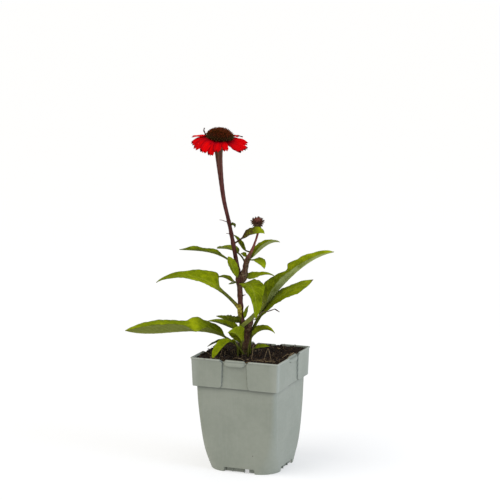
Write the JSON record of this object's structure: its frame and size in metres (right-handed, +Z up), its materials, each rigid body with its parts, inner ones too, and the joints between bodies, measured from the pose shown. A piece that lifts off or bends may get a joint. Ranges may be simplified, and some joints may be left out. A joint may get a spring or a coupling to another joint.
{
  "type": "potted coneflower plant with red ray florets",
  "caption": "Young coneflower in a square nursery pot: leafy stem with an open red flower head round a dark cone, and a side branch with a bud.",
  "frame": {"origin": "middle of the pot's underside, on the plane that the pot stands on", "axes": "+Z up along the pot's axis, -Y out of the pot's front face, +X to the right seen from the front"},
  "size_m": [0.2064, 0.1427, 0.4015],
  "materials": {
    "pot_plastic": "satin",
    "potting_mix": "matte",
    "stem": "satin",
    "side_shoot": "matte",
    "leaf": "satin",
    "ray_floret": "satin",
    "withered_floret": "matte",
    "dry_growth": "matte",
    "stem_scale": "matte",
    "flower_cone": "matte",
    "involucre": "matte",
    "bud": "matte",
    "bud_bracts": "matte"
  },
  "bodies": {
    "root": {"bract_curled": "leaf", "bud_bracts": "bud_bracts", "bud_head": "bud", "bud_stem": "stem", "flower_cone": "flower_cone", "flower_stem": "stem", "involucre": "involucre", "leaf_back_left_narrow": "leaf", "leaf_back_of_bud_stem": "leaf", "leaf_behind_flower_stem": "leaf", "leaf_bud_stem_curled": "leaf", "leaf_bud_stem_right": "leaf", "leaf_bud_stem_small": "leaf", "leaf_front_diamond": "leaf", "leaf_front_drooping": "leaf", "leaf_long_left": "leaf", "leaf_long_right": "leaf", "leaf_low_right": "leaf", "leaf_lower_left": "leaf", "leaf_middle_left": "leaf", "leaf_on_soil_right": "leaf", "leaf_over_rim": "leaf", "leaf_right": "leaf", "leaf_right_of_knuckle": "leaf", "leaf_small_left": "leaf", "leaf_small_upright": "leaf", "leaf_tiny_left": "leaf", "leaf_toothed_left": "leaf", "leaf_top_over_bud_stem": "leaf", "leaf_upper_left": "leaf", "leaf_upright_by_stem": "leaf", "pot": "pot_plastic", "potting_mix": "potting_mix", "ray_floret_01": "ray_floret", "ray_floret_02": "ray_floret", "ray_floret_03": "ray_floret", "ray_floret_04": "ray_floret", "ray_floret_05": "ray_floret", "ray_floret_06": "ray_floret", "ray_floret_07": "ray_floret", "ray_floret_08": "ray_floret", "ray_floret_09": "ray_floret", "ray_floret_10": "ray_floret", "ray_floret_11": "ray_floret", "ray_floret_12": "ray_floret", "ray_floret_13": "ray_floret", "ray_floret_14": "ray_floret", "ray_floret_15": "ray_floret", "ray_floret_16": "ray_floret", "scale_lower_left": "stem_scale", "scale_right": "stem_scale", "scale_upper_left": "stem_scale", "side_shoot": "side_shoot", "withered_floret_left": "withered_floret", "withered_floret_right": "withered_floret", "withered_strand": "dry_growth"}
  },
  "joints": []
}
